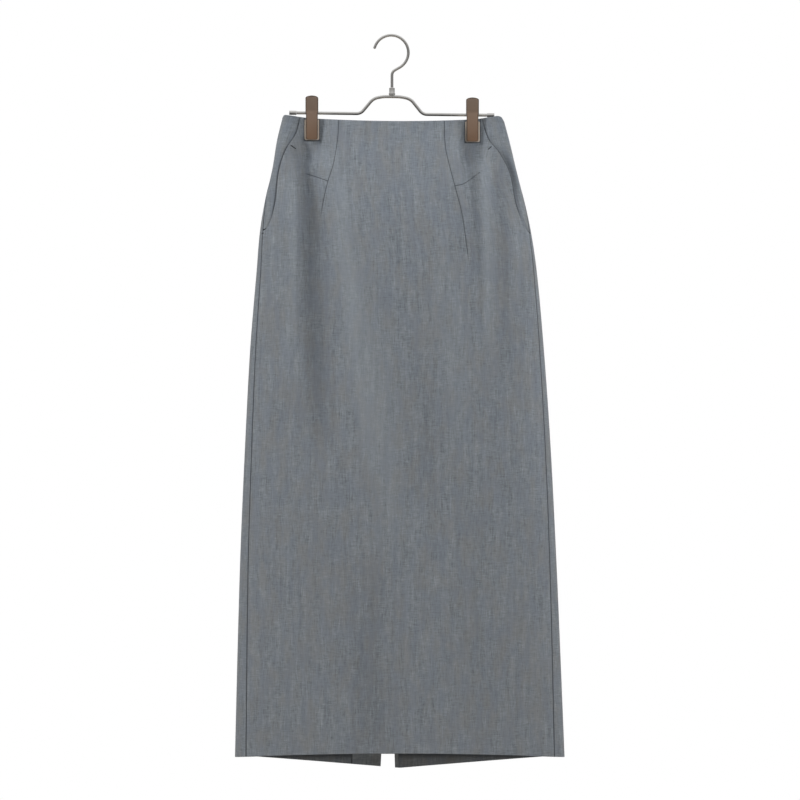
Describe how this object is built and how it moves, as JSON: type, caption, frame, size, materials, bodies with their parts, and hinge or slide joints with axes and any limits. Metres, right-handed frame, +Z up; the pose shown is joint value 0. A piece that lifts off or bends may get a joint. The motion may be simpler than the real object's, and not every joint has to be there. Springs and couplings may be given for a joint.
{
  "type": "pencil skirt on clip hanger",
  "caption": "Long straight skirt of grey suiting, darted, with slanted hip pockets, a back zip and a back slit, hanging open and empty from a metal hanger by its clips.",
  "frame": {"origin": "the point at the top of the hook's inner side that rests on a rail", "axes": "+Z up along the hanging skirt, -Y to the skirt's front, +X to the right as seen from the front"},
  "size_m": [0.4774, 0.143, 1.0644],
  "materials": {
    "suiting": "matt grey mélange suiting with fine slubs",
    "zip_tape": "woven grey tape",
    "zip_metal": "grey lacquer, slightly glossy",
    "hanger_steel": "satin plated steel",
    "clip_jaw": "satin brown plastic",
    "clip_pad": "beige rubber"
  },
  "bodies": {
    "skirt": {"front_panel": "suiting", "hip_panel_left": "suiting", "hip_panel_right": "suiting", "back_panel_left": "suiting", "back_panel_right": "suiting", "slit_facing_left": "suiting", "slit_facing_right": "suiting", "zip_tape": "zip_tape", "zip_slider": "zip_metal", "hanger_hook": "hanger_steel", "hanger_ferrule": "hanger_steel", "hanger_bar": "hanger_steel", "bar_cap_left": "hanger_steel", "bar_cap_right": "hanger_steel", "clip_left_front_jaw": "clip_jaw", "clip_left_back_jaw": "clip_jaw", "clip_right_front_jaw": "clip_jaw", "clip_right_back_jaw": "clip_jaw", "clip_left_front_pad": "clip_pad", "clip_left_back_pad": "clip_pad", "clip_right_front_pad": "clip_pad", "clip_right_back_pad": "clip_pad", "clip_left_spring": "hanger_steel", "clip_right_spring": "hanger_steel"},
    "pull": {"zip_pull": "zip_metal"}
  },
  "joints": [
    {"name": "zip_pull_swing", "type": "hinge", "parent": "skirt", "child": "pull", "pos_m": [0.00188, 0.02505, -0.13477], "axis": [1, 0, 0], "range_deg": [0, 150]}
  ]
}
